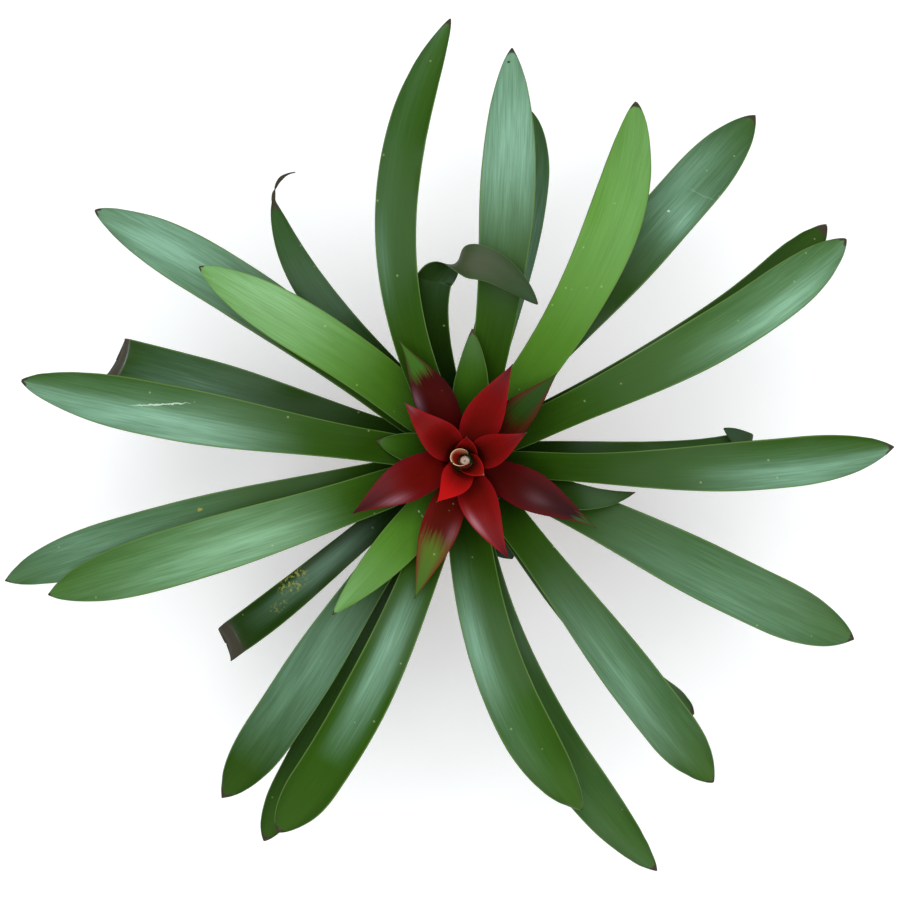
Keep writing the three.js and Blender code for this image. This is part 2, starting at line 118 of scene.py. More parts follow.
def mix(tree, amount, low, high, blend="MIX"):
    """Two colours mixed by an amount."""
    inputs = {0: amount, 6: low, 7: high}
    return add_node(tree, "ShaderNodeMix", inputs, data_type="RGBA", blend_type=blend).outputs[2]


def span(tree, value, start, end, low=0.0, high=1.0):
    """A value taken smoothly from one range to another, and kept inside it."""
    inputs = {"Value": value, "From Min": start, "From Max": end, "To Min": low, "To Max": high}
    return add_node(tree, "ShaderNodeMapRange", inputs, interpolation_type="SMOOTHSTEP").outputs[0]


def maths(tree, operation, first, second=0.0):
    """One sum on two values."""
    return add_node(tree, "ShaderNodeMath", {0: first, 1: second}, operation=operation).outputs[0]


def start_finish(name):
    """A new material, its node tree and its surface shader."""
    finish = bpy.data.materials.new(name)
    finish.use_nodes = True
    return finish, finish.node_tree, finish.node_tree.nodes["Principled BSDF"]


def noise_at(tree, vector, scale, detail=3.0, roughness=0.55):
    """A noise pattern's value on some coordinates."""
    inputs = {"Vector": vector, "Scale": scale, "Detail": detail, "Roughness": roughness}
    return add_node(tree, "ShaderNodeTexNoise", inputs).outputs[0]


def pot_finish():
    """Matt terracotta-brown plastic: faint mould mottling, a fine grain in its relief and pale scuffs."""
    finish, tree, surface = start_finish("pot_plastic")
    place = add_node(tree, "ShaderNodeTexCoord").outputs["Object"]
    mottle = span(tree, noise_at(tree, place, 45.0, 5.0), 0.35, 0.68)
    grain = noise_at(tree, place, 900.0, 2.0)
    colour = mix(tree, mottle, paint(150, 78, 52), paint(178, 99, 68))
    scuffs = span(tree, noise_at(tree, place, 140.0, 6.0, 0.7), 0.63, 0.72, 0.0, 0.45)
    colour = mix(tree, scuffs, colour, paint(205, 146, 118))
    tree.links.new(colour, surface.inputs["Base Color"])
    tree.links.new(span(tree, mottle, 0.0, 1.0, 0.52, 0.68), surface.inputs["Roughness"])
    bump = add_node(tree, "ShaderNodeBump", {"Strength": 0.35, "Distance": 0.1 * MM, "Height": grain})
    tree.links.new(bump.outputs["Normal"], surface.inputs["Normal"])
    return finish


RIM_FOOT = POT_HEIGHT - POT_RIM_HEIGHT
GRIP_BANDS = [0.3, 0.36, 0.82]
BAND_HEIGHT = 1.4
BAND_DEPTH = 0.35
pot_outline = [
    (POT_BASE_RADIUS - POT_EDGE, 0),
    (POT_BASE_RADIUS - 0.3 * POT_EDGE, 0.3 * POT_EDGE),
    (POT_BASE_RADIUS, POT_EDGE),
]
for share in GRIP_BANDS:
    level = share * RIM_FOOT
    for step, depth in enumerate((0, BAND_DEPTH, BAND_DEPTH, 0)):
        height = level + step * BAND_HEIGHT / 3
        pot_outline.append((pot_radius(height) - depth, height))
pot_outline += [
    (pot_radius(RIM_FOOT), RIM_FOOT),
    (POT_RIM_RADIUS - 0.6 * POT_EDGE, RIM_FOOT + 0.3 * POT_EDGE),
    (POT_RIM_RADIUS - 0.3 * POT_EDGE, RIM_FOOT + POT_EDGE),
    (POT_RIM_RADIUS, POT_HEIGHT - POT_EDGE),
    (POT_RIM_RADIUS - 0.3 * POT_EDGE, POT_HEIGHT - 0.3 * POT_EDGE),
    (POT_RIM_RADIUS - POT_EDGE, POT_HEIGHT),
    (pot_radius(POT_HEIGHT) - POT_WALL + POT_EDGE / 2, POT_HEIGHT),
    (pot_radius(POT_HEIGHT) - POT_WALL, POT_HEIGHT - POT_EDGE),
    (pot_radius(POT_FLOOR) - POT_WALL, POT_FLOOR),
]
pot = raise_rings("nursery_pot", pot_outline, POT_SIDES)

bpy.ops.object.select_all(action="DESELECT")
drills = []
for number in range(DRAIN_HOLES):
    angle = 2 * math.pi * number / DRAIN_HOLES
    spot = Vector((math.cos(angle), math.sin(angle), 0)) * DRAIN_RING_RADIUS * MM
    bpy.ops.mesh.primitive_cylinder_add(
        vertices=DRAIN_HOLE_SIDES, radius=DRAIN_HOLE_RADIUS * MM, depth=4 * POT_FLOOR * MM, location=spot)
    drills.append(bpy.context.object)
for drill in drills:
    drill.select_set(True)
bpy.ops.object.join()
drill = bpy.context.object
bpy.context.view_layer.objects.active = pot
holes = pot.modifiers.new("drain_holes", "BOOLEAN")
holes.object = drill
holes.operation = "DIFFERENCE"
bpy.ops.object.modifier_apply(modifier=holes.name)
bpy.data.objects.remove(drill)
pot.select_set(True)
bpy.ops.object.shade_smooth_by_angle(angle=math.radians(POT_CREASE))
pot.data.materials.append(pot_finish())
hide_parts("pot")
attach(pot, "root")


# Soil
# A dark potting mix of peat and bark that fills the pot to just under its rim. Its crumbly top has
# bark chips and a few pale grains lying in it. The stem stands in a plain hole in its middle.
SOIL_TOP = 87
SOIL_RINGS = 22
SOIL_HOLE_RADIUS = 13.8
SOIL_HOLE_BOTTOM = 57.7
SOIL_GAP = 0.6
SOIL_SHOULDER = 1.5
SOIL_ROUNDING = 0.8
SOIL_CREASE = 50
CRUMB_HEIGHT = 1.5
CLOD_SCALE = 60
CRUMB_SCALE = 210
CHIPS = 300
CHIP_SIZES = (3.0, 8.5)
GRAINS = 60
GRAIN_SIZES = (1.4, 3.0)
LUMP_CLEARANCE = 4


def soil_finish(name, dark, light, roughness):
    """Crumbly stuff in two tones, rough all over."""
    finish, tree, surface = start_finish(name)
    place = add_node(tree, "ShaderNodeTexCoord").outputs["Object"]
    crumbs = noise_at(tree, place, 320.0, 6.0, 0.7)
    tree.links.new(mix(tree, span(tree, crumbs, 0.38, 0.66), dark, light), surface.inputs["Base Color"])
    surface.inputs["Roughness"].default_value = roughness
    bump = add_node(tree, "ShaderNodeBump", {"Strength": 0.9, "Distance": 0.6 * MM, "Height": crumbs})
    tree.links.new(bump.outputs["Normal"], surface.inputs["Normal"])
    return finish


soil_foot = pot_radius(POT_FLOOR) - POT_WALL - SOIL_GAP
soil_edge = pot_radius(SOIL_TOP) - POT_WALL - SOIL_GAP
soil_outline = [(soil_foot, POT_FLOOR + SOIL_GAP), (soil_edge, SOIL_TOP - SOIL_SHOULDER)]
for ring in range(SOIL_RINGS + 1):
    inwards = (SOIL_HOLE_RADIUS - soil_edge + SOIL_ROUNDING) * (ring / SOIL_RINGS)
    soil_outline.append((soil_edge - SOIL_ROUNDING + inwards, SOIL_TOP))
soil_outline.append((SOIL_HOLE_RADIUS, SOIL_HOLE_BOTTOM))
soil = raise_rings("potting_soil", soil_outline, POT_SIDES)
for vertex in soil.data.vertices:
    if vertex.co.z > (SOIL_TOP - 0.1) * MM:
        lump = noise.noise(vertex.co * CLOD_SCALE) + 0.6 * noise.noise(vertex.co * CRUMB_SCALE)
        vertex.co.z += CRUMB_HEIGHT * lump * MM
bpy.ops.object.shade_smooth_by_angle(angle=math.radians(SOIL_CREASE))
soil.data.materials.append(soil_finish("peat", paint(38, 27, 19), paint(86, 62, 44), 0.95))


def scatter(name, count, sizes, seed):
    """Small rough lumps of many sizes lying flat on the soil, as one mesh."""
    draw = random.Random(seed)
    bpy.ops.object.select_all(action="DESELECT")
    bpy.ops.mesh.primitive_ico_sphere_add(subdivisions=1, radius=0.5)
    lumps = bpy.context.object
    lumps.name = lumps.data.name = name
    first = [vertex.co.copy() for vertex in lumps.data.vertices]
    faces = [tuple(polygon.vertices) for polygon in lumps.data.polygons]
    nearest = SOIL_HOLE_RADIUS + LUMP_CLEARANCE
    farthest = soil_edge - LUMP_CLEARANCE
    places = []
    sides = []
    for number in range(count):
        size = draw.uniform(*sizes) * MM
        stretch = Vector((size, size * draw.uniform(0.5, 0.9), size * draw.uniform(0.25, 0.5)))
        facing = Matrix.Rotation(draw.uniform(0, 2 * math.pi), 3, "Z")
        turn = facing @ Matrix.Rotation(draw.gauss(0, 0.25), 3, "X")
        distance = math.sqrt(draw.uniform(nearest ** 2, farthest ** 2)) * MM
        bearing = draw.uniform(0, 2 * math.pi)
        lift = CRUMB_HEIGHT * draw.uniform(-0.1, 0.7) * MM
        spot = Vector((distance * math.cos(bearing), distance * math.sin(bearing), SOIL_TOP * MM + lift))
        for corner in first:
            rough = corner * draw.uniform(0.75, 1.15)
            places.append(spot + turn @ Vector(a * b for a, b in zip(rough, stretch)))
        sides += [tuple(index + number * len(first) for index in face) for face in faces]
    lumps.data.clear_geometry()
    lumps.data.from_pydata(places, [], sides)
    return lumps


chips = scatter("bark_chips", CHIPS, CHIP_SIZES, seed=11)
chips.data.materials.append(soil_finish("bark", paint(52, 34, 22), paint(120, 82, 54), 0.85))
grains = scatter("pale_grains", GRAINS, GRAIN_SIZES, seed=12)
grains.data.materials.append(soil_finish("perlite", paint(190, 184, 170), paint(232, 228, 216), 0.9))
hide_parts("soil")
for piece in (soil, chips, grains):
    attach(piece, "root")


# Stem
# The short thick stock that the leaves grow from, ringed by their scars, and the slim stalk and
# cone above it that carry the bracts. It is green flesh, pale where the light never reaches it.

# Pairs of radius and height in millimetres.
STEM_OUTLINE = [
    (11, 58), (13.5, 64), (13.5, 94), (5.5, 124), (5, 132), (5, 178), (11, 194), (3.6, 241), (3.2, 244),
]
STEM_STEP = 3
STEM_SIDES = 48
STEM_CREASE = 60
SCAR_DEPTH = 0.25
SCAR_SPACING = 3


def stem_radius(height):
    """The stem's radius at a height."""
    for (low_radius, low), (high_radius, high) in zip(STEM_OUTLINE, STEM_OUTLINE[1:]):
        if height <= high:
            return low_radius + (high_radius - low_radius) * (height - low) / (high - low)
    return STEM_OUTLINE[-1][0]


def stem_finish():
    """Pale green flesh with fine lengthwise fibres."""
    finish, tree, surface = start_finish("stem_flesh")
    place = add_node(tree, "ShaderNodeTexCoord").outputs["Object"]
    height = add_node(tree, "ShaderNodeSeparateXYZ", {0: place}).outputs["Z"]
    long_grain = add_node(tree, "ShaderNodeMapping", {"Vector": place, "Scale": (1, 1, 0.08)}).outputs[0]
    fibres = noise_at(tree, long_grain, 900.0, 3.0)
    colour = mix(tree, span(tree, height, 80 * MM, 180 * MM), paint(196, 200, 150), paint(96, 132, 56))
    colour = mix(tree, span(tree, fibres, 0.35, 0.7, 0.0, 0.4), colour, paint(150, 124, 84))
    tree.links.new(colour, surface.inputs["Base Color"])
    surface.inputs["Roughness"].default_value = 0.5
    bump = add_node(tree, "ShaderNodeBump", {"Strength": 0.4, "Distance": 0.2 * MM, "Height": fibres})
    tree.links.new(bump.outputs["Normal"], surface.inputs["Normal"])
    return finish


stem_rings = []
height = STEM_OUTLINE[0][1]
while height < STEM_OUTLINE[-1][1]:
    scar = SCAR_DEPTH if len(stem_rings) % SCAR_SPACING == 0 else 0
    stem_rings.append((stem_radius(height) - scar, height))
    height += STEM_STEP
stem_rings.append(STEM_OUTLINE[-1])
stem = raise_rings("flower_stem", stem_rings, STEM_SIDES)
bpy.ops.object.shade_smooth_by_angle(angle=math.radians(STEM_CREASE))
stem.data.materials.append(stem_finish())
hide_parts("stem")
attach(stem, "root")


# Long leaves
# The long strap leaves of the rosette: smooth leathery blades with fine parallel veins, glossy on
# top and scurfy beneath. Each one clasps the stem at its foot, climbs beside it and arches out.

# Each whorl: the height where its leaves touch the stem, the height and slope at which their free
# curves start from the middle, how far out they leave the stem, and the width they have room for.
WHORLS = {
    "bud_cup": dict(seat=241, start=231, slope=74, exit=6.3, room=4.6),
    "small_cup": dict(seat=234, start=231, slope=66, exit=8, room=3.2),
    "tall_cup": dict(seat=227, start=229, slope=62, exit=9.5, room=3.4),
    "bright_bract": dict(seat=220, start=226, slope=56, exit=11.5, room=2.4),
    "inner_bracts": dict(seat=212, start=222, slope=50, exit=13.5, room=1.8),
    "middle_bracts": dict(seat=204, start=213, slope=48, exit=15, room=1.45),
    "outer_bracts": dict(seat=196, start=203, slope=48, exit=16, room=0.95),
    "short_leaves": dict(seat=124, start=172, slope=52, exit=14, room=1.0),
    "first_leaves": dict(seat=118, start=165, slope=48, exit=24, room=0.8),
    "second_leaves": dict(seat=112, start=158, slope=44, exit=27, room=0.74),
    "third_leaves": dict(seat=106, start=151, slope=40, exit=30, room=0.64),
    "fourth_leaves": dict(seat=100, start=144, slope=36, exit=32, room=0.9),
    "fifth_leaves": dict(seat=94, start=137, slope=32, exit=34, room=0.85),
}
TOUCH_GAP = 0.45
TIP_THICKNESS = 0.8
TIP_WIDTH = 0.7
CHANNEL_RADIUS = 120
WAIST_END = 60
FULL_WIDTH_FROM = 185
CLIMB_UPRIGHT = 0.4
MARGIN_THICKNESS = 0.45
CLIMB_ROWS = 10
CURL_ROWS = 22
ROW_CROWDING = 1.35
CURVE_STEP = 0.002
TAIL_FLARE = 14
FOLD_FROM = -12
FOLD_FULL = 16
WIDTH_BLEND = 4
WAVES_FROM = 70
WAVES_FULL = 130
SLOW_WAVE = 0.055
QUICK_WAVE = 0.13
WAVES_AT_MARGIN = 2.5
WANDER_STEP = 0.11
RAGGED_TIP_FULL = 4
RAGGED_TIP_END = 60
BLOOM_AND_SHEEN_SIDED = 0.9
BLOOM_AND_SHEEN_SIDE_FROM = -0.35
BLOOM_AND_SHEEN_SIDE_FULL = 0.4
DRY_HEART = 0.8
DRY_END = 1.15
MARK_WOBBLE = 2
GUIDES = ("along", "across", "bloom_and_sheen", "tone", "dry")
LONG_BLADE = dict(thickness=1.2, point=0.7, columns=12, rows=56, wave=1.0, ragged=0.45)
# The places near, far and tip are millimetres seen from above, the tip's third number and height are
# heights. Bloom and sheen: the leaf's pale waxy bloom with a painted sheen, the reflection of the light,
# laid over it; where it begins and is fullest, its strength there and at the tip, and its side.
# Spots: painted highlights, each with place along and across, length, width and strength. Dry: the
# dead tip's length.
LONG_LEAVES = [
    dict(name="leaf_01", whorl="first_leaves", near=(91, -5), far=(181, -3), tip=(282, 9, 222),
         height=252, width=32, waist=0.58, taper=80, tone=-0.1, bloom_and_sheen=(0.42, 0.74, 0.7, 0.5, 0.9), dry=5),
    dict(name="leaf_02", whorl="first_leaves", near=(52, 69), far=(91, 144), tip=(112, 234, 226),
         height=255, width=36, waist=0.75, taper=105, tone=0.9, bloom_and_sheen=(0.4, 0.85, 0.4, 0.4, 0.3), dry=4),
    dict(name="leaf_03", whorl="first_leaves", near=(-38, 92), far=(-40.5, 188), tip=(-9, 295, 206),
         height=257, width=27, waist=0.85, taper=128, tone=0.0, bloom_and_sheen=(0.2, 0.9, 0.08, 0.15, -0.8),
         spots=[(0.42, -0.7, 0.08, 0.3, 0.2)], dry=6),
    dict(name="leaf_04", whorl="first_leaves", near=(-95, 15), far=(-188, 31), tip=(-293, 53, 214),
         height=252, width=35, waist=0.62, taper=98, tone=0.1, bloom_and_sheen=(0.3, 0.6, 0.9, 0.7, -0.8), dry=3),
    dict(name="leaf_05", whorl="first_leaves", near=(-33, -84), far=(-70, -164), tip=(-127, -253, 190),
         height=245, width=33, waist=0.75, taper=58, tone=0.0, bloom_and_sheen=(0.22, 0.42, 0.62, -0.45, 0),
         crown=2, dry=4),
    dict(name="leaf_06", whorl="first_leaves", near=(54, -69), far=(106, -138), tip=(169, -218, 194),
         height=245, width=34, waist=0.66, taper=64, tone=-0.1, bloom_and_sheen=(0.25, 0.6, 0.5, 0.0, 0.6), dry=3),
    dict(name="leaf_07", whorl="second_leaves", near=(87.5, 42), far=(170.5, 86), tip=(255, 148, 206),
         height=238, width=34, waist=0.64, taper=74, tone=0.2, bloom_and_sheen=(0.4, 0.78, 0.6, 0.45, 0.6),
         spots=[(0.72, 0.55, 0.14, 0.35, 0.35)], dry=3),
    dict(name="leaf_08", whorl="second_leaves", near=(20, 89), far=(28, 177), tip=(32, 275, 208),
         height=235, width=37, waist=0.66, taper=118, tone=0.1, bloom_and_sheen=(0.4, 0.8, 1.0, 0.7, -0.1),
         spots=[(0.7, 0, 0.1, 0.9, 0.1)], dry=4),
    dict(name="leaf_09", whorl="second_leaves", near=(-52, 50), far=(-109, 88), tip=(-171, 125, 238),
         height=238, width=35, waist=0.9, taper=92, tone=0.7, bloom_and_sheen=(0.35, 0.76, 0.9, 0.6, 0.3), dry=2),
    dict(name="leaf_10", whorl="second_leaves", near=(-90, -32), far=(-180, -60), tip=(-284, -92, 186),
         height=232, width=38, waist=0.75, taper=102, tone=0.3, bloom_and_sheen=(0.2, 0.46, 0.8, 0.15, -0.5),
         dry=2),
    dict(name="leaf_11", whorl="second_leaves", near=(8, -82), far=(32, -158), tip=(80, -236, 198),
         height=236, width=35, waist=0.88, taper=90, tone=0.1, bloom_and_sheen=(0.1, 0.42, 0.2, 0.0, 0.9),
         spots=[(0.42, 0.6, 0.14, 0.35, 0.45)], dry=2),
    dict(name="leaf_12", whorl="third_leaves", near=(63, 79), far=(127, 153.5), tip=(201, 237.5, 178),
         height=218, width=37, waist=0.56, taper=78, tone=-0.2, bloom_and_sheen=(0.45, 0.74, 0.5, 0.1, -0.3),
         spots=[(0.66, 0.45, 0.06, 0.5, 0.6)], dry=5),
    dict(name="leaf_13", whorl="third_leaves", near=(-77, 62), far=(-158, 118), tip=(-254, 172, 178),
         height=217, width=37, waist=0.75, taper=100, tone=0.1, bloom_and_sheen=(0.35, 0.78, 0.85, 0.6, 0.1),
         spots=[(0.8, 0, 0.1, 0.6, 0.25)], dry=3),
    dict(name="leaf_14", whorl="third_leaves", near=(-103.5, -24), far=(-211, -50), tip=(-322, -85, 160),
         height=215, width=34, waist=0.8, taper=104, tone=0.1, bloom_and_sheen=(0.3, 0.78, 0.5, 0.2, 0.1), dry=3),
    dict(name="leaf_15", whorl="third_leaves", near=(-58, -72.5), far=(-109, -150), tip=(-170, -238, 158),
         height=210, width=35, waist=0.6, taper=74, tone=-0.3, bloom_and_sheen=(0.2, 0.55, 0.42, -0.1, 0.1), dry=6),
    dict(name="leaf_16", whorl="third_leaves", near=(19, -102), far=(65, -197), tip=(139, -295, 140),
         height=206, width=34, waist=0.85, taper=120, tone=-0.1, bloom_and_sheen=(0, 0.3, 0.1, 0.05, 0.4), dry=6),
    dict(name="leaf_17", whorl="third_leaves", near=(88.5, -38), far=(173.5, -80.5), tip=(272, -125, 168),
         height=214, width=39, waist=0.7, taper=78, tone=0.1, bloom_and_sheen=(0.2, 0.62, 0.42, 0.12, 0.4), dry=4),
    dict(name="leaf_18", whorl="fourth_leaves", near=(87.5, 44.5), far=(173, 94), tip=(259, 167, 146),
         height=197, width=28, waist=0.8, taper=60, tone=-0.4, bloom_and_sheen=(0.4, 0.7, 0.05, 0, 0.3), dry=8),
    dict(name="leaf_19", whorl="fourth_leaves", near=(-12, 40), far=(-21, 80), tip=(-20, 115, 244),
         height=200, width=24, waist=1, taper=70, tone=-0.7, bloom_and_sheen=(0.4, 0.7, 0.05, 0.05, 0.8), dry=0,
         curl=dict(via=(5, 143, 268), end=(47, 100, 243), turn=75)),
    dict(name="leaf_20", whorl="fourth_leaves", near=(-77, 24.5), far=(-153.5, 46), tip=(-237, 68, 168),
         height=198, width=34, waist=0.62, taper=30, tone=-0.4, bloom_and_sheen=(0.3, 0.6, 0.4, -0.5, -0.6),
         slant=4.5, dry=62, hollow=5,
         curl=dict(via=(-253, 72, 150), end=(-257, 73, 108), turn=0)),
    dict(name="leaf_21", whorl="fourth_leaves", near=(-54.5, -39), far=(-105, -81), tip=(-160, -124, 160),
         height=190, width=25, waist=0.72, taper=20, tone=-0.6, bloom_and_sheen=(0.1, 0.4, 0.35, -0.4, 0.3),
         crown=2, slant=3, dry=68, hollow=4,
         curl=dict(via=(-175, -136, 140), end=(-177, -138, 98), turn=0)),
    dict(name="leaf_22", whorl="fourth_leaves", near=(46.5, -65.5), far=(94.5, -125.5), tip=(165, -183, 140),
         height=191, width=22, waist=0.9, taper=33, tone=-0.4, bloom_and_sheen=(0.3, 0.6, 0.1, 0.05, 0), dry=5),
    dict(name="leaf_23", whorl="fifth_leaves", near=(67, 3), far=(133, 2), tip=(196, 8, 150),
         height=179, width=23, waist=0.9, taper=55, tone=-0.4, bloom_and_sheen=(0.3, 0.6, 0.05, 0.1, 0), dry=0,
         curl=dict(via=(212, 4, 173), end=(181, 22, 168), turn=-23)),
    dict(name="leaf_24", whorl="fifth_leaves", near=(18, 79), far=(39, 162), tip=(45.5, 253, 136),
         height=183, width=31, waist=0.9, taper=70, tone=-0.3, bloom_and_sheen=(0.05, 0.3, 0.6, 0.1, 0.9), dry=6),
    dict(name="leaf_25", whorl="fifth_leaves", near=(-49, 56), far=(-98.3, 110), tip=(-132, 180.5, 170),
         height=186, width=25, waist=0.9, taper=105, tail=2.4, tone=-0.4, bloom_and_sheen=(0.2, 0.5, 0.1, 0.05, 0),
         dry=38, curl=dict(via=(-132, 198.5, 168), end=(-118, 202, 160), turn=130)),
    dict(name="leaf_26", whorl="fifth_leaves", near=(-44, -88), far=(-92, -176), tip=(-146, -280, 118),
         height=179, width=28, waist=0.9, taper=60, tone=-0.3, bloom_and_sheen=(0.3, 0.6, 0.03, 0, 0), dry=6),
]


def lerp(low, high, share):
    """A value that lies a share of the way between two."""
    return low + (high - low) * share


def smooth(value, low, high):
    """0 below low, 1 above high and an even rise between them."""
    share = min(1, max(0, (value - low) / (high - low)))
    return share * share * (3 - 2 * share)


def bezier(points, share):
    """The place on a Bezier curve and its direction there."""
    while len(points) > 2:
        points = [a.lerp(b, share) for a, b in zip(points, points[1:])]
    return points[0].lerp(points[1], share), (points[1] - points[0]).normalized()


def level(vector):
    """A vector's part in the level plane."""
    return Vector((vector.x, vector.y, 0))


def blade_points(leaf, whorl):
    """The free part's curve: it passes near and far, and is at the leaf's height halfway."""
    near = Vector((*leaf["near"], 0))
    far = Vector((*leaf["far"], 0))
    tip = Vector(leaf["tip"])
    start = Vector((0, 0, whorl["start"]))
    first = near * 3 - far * 1.5 + level(tip) / 3
    second = far * 3 - near * 1.5 - level(tip) * 5 / 6
    first.z = whorl["start"] + math.tan(math.radians(whorl["slope"])) * level(first).length
    second.z = (8 * leaf["height"] - start.z - tip.z) / 3 - first.z
    return [start, first, second, tip]


def leaf_line(leaf, kind):
    """Where a leaf runs: its places, directions and the part that each one lies on."""
    whorl = WHORLS[leaf["whorl"]]
    blade = blade_points(leaf, whorl)
    leaves_at = 0
    while level(bezier(blade, leaves_at)[0]).length < whorl["exit"]:
        leaves_at += CURVE_STEP
    exit_place, leaving = bezier(blade, leaves_at)

    outward = level(exit_place).normalized()
    seat_radius = stem_radius(whorl["seat"]) + TOUCH_GAP + kind["thickness"] / 2
    seat = outward * seat_radius + Vector((0, 0, whorl["seat"]))
    above = seat.copy()
    above.z = lerp(seat.z, exit_place.z, CLIMB_UPRIGHT)
    halfway = (level(exit_place).length - seat_radius) / 2
    before = exit_place - leaving * halfway / level(leaving).length
    climb = [seat, above, before, exit_place]

    line = []
    for row in range(CLIMB_ROWS):
        share = row / CLIMB_ROWS
        place, direction = bezier(climb, share)
        heading = level(place).normalized().lerp(level(leaving).normalized(), share)
        line.append((place, direction, heading))
    for row in range(kind["rows"] + 1):
        share = 1 - (1 - row / kind["rows"]) ** ROW_CROWDING
        place, direction = bezier(blade, lerp(leaves_at, 1, share))
        heading = level(direction).normalized()
        line.append((place, direction, heading))
    if "curl" in leaf:
        curl = [Vector(leaf["tip"]), Vector(leaf["curl"]["via"]), Vector(leaf["curl"]["end"])]
        for row in range(1, CURL_ROWS + 1):
            share = row / CURL_ROWS
            place, direction = bezier(curl, share)
            turn = math.radians(leaf["curl"]["turn"]) * math.sqrt(share)
            line.append((place, direction, Matrix.Rotation(turn, 3, "Z") @ heading))
    return line


def leaf_rows(leaf, kind):
    """A leaf's cross-sections: place, side and normal, width, roll about the stem and thickness."""
    whorl = WHORLS[leaf["whorl"]]
    line = leaf_line(leaf, kind)
    left = [0] * len(line)
    for row in range(len(line) - 2, -1, -1):
        left[row] = left[row + 1] + (line[row][0] - line[row + 1][0]).length
    free = left[CLIMB_ROWS]
    bend = CLIMB_ROWS + kind["rows"]

    tail = leaf.get("tail", TIP_WIDTH)
    tail_length = left[bend] if "tail" in leaf else 0
    point = leaf.get("point", kind["point"])
    rows = []
    for (place, direction, heading), to_go in zip(line, left):
        distance = level(place).length
        rough_side = Vector((heading.y, -heading.x, 0))
        normal = rough_side.cross(direction).normalized()
        side = direction.cross(normal).normalized()
        spread = smooth(distance, WAIST_END, FULL_WIDTH_FROM)
        full = leaf["width"] * lerp(leaf.get("waist", 1), 1, spread)
        room = whorl["room"] * distance
        narrowed = (full ** -WIDTH_BLEND + room ** -WIDTH_BLEND) ** (-1 / WIDTH_BLEND)
        blade_left = min(1, max(0, to_go - tail_length) / leaf["taper"])
        tapered = math.sin(math.pi / 2 * blade_left ** point)
        narrowest = TIP_WIDTH + (tail - TIP_WIDTH) * smooth(to_go, 0, TAIL_FLARE)
        clasp = min(1, whorl["exit"] / distance) / distance
        rows.append(dict(
            place=place, side=side, normal=normal, heading=heading,
            width=max(narrowest, narrowed * tapered),
            roll=max(clasp, 1 / leaf.get("rolled", CHANNEL_RADIUS)),
            thickness=lerp(TIP_THICKNESS, kind["thickness"], to_go / left[0]),
            along=max(0, 1 - to_go / free), to_go=to_go, distance=distance,
            past=smooth(left[bend] - to_go, FOLD_FROM, FOLD_FULL) if "curl" in leaf else 0,
        ))
    return rows


def bloom_and_sheen_at(leaf, along, across):
    """How strongly a leaf's pale waxy bloom, with its painted sheen and highlights, shows at a place on it.
    """
    begins, fullest, strength, at_tip, side = leaf["bloom_and_sheen"]
    lengthwise = strength * smooth(along, begins, fullest)
    if along > fullest:
        lengthwise = lerp(strength, at_tip, smooth(along, fullest, 1))
    towards = across * math.copysign(1, side)
    other_side = 1 - smooth(towards, BLOOM_AND_SHEEN_SIDE_FROM, BLOOM_AND_SHEEN_SIDE_FULL)
    crosswise = 1 - BLOOM_AND_SHEEN_SIDED * abs(side) * other_side
    bloom_and_sheen = lengthwise * max(0, crosswise - leaf.get("crown", 0.25) * across ** 2)
    # Each spot is a painted highlight, where the light is reflected most brightly.
    for spot_along, spot_across, length, width, strength in leaf.get("spots", ()):
        off = ((along - spot_along) / length) ** 2 + ((across - spot_across) / width) ** 2
        bloom_and_sheen += strength * math.exp(-off)
    return bloom_and_sheen


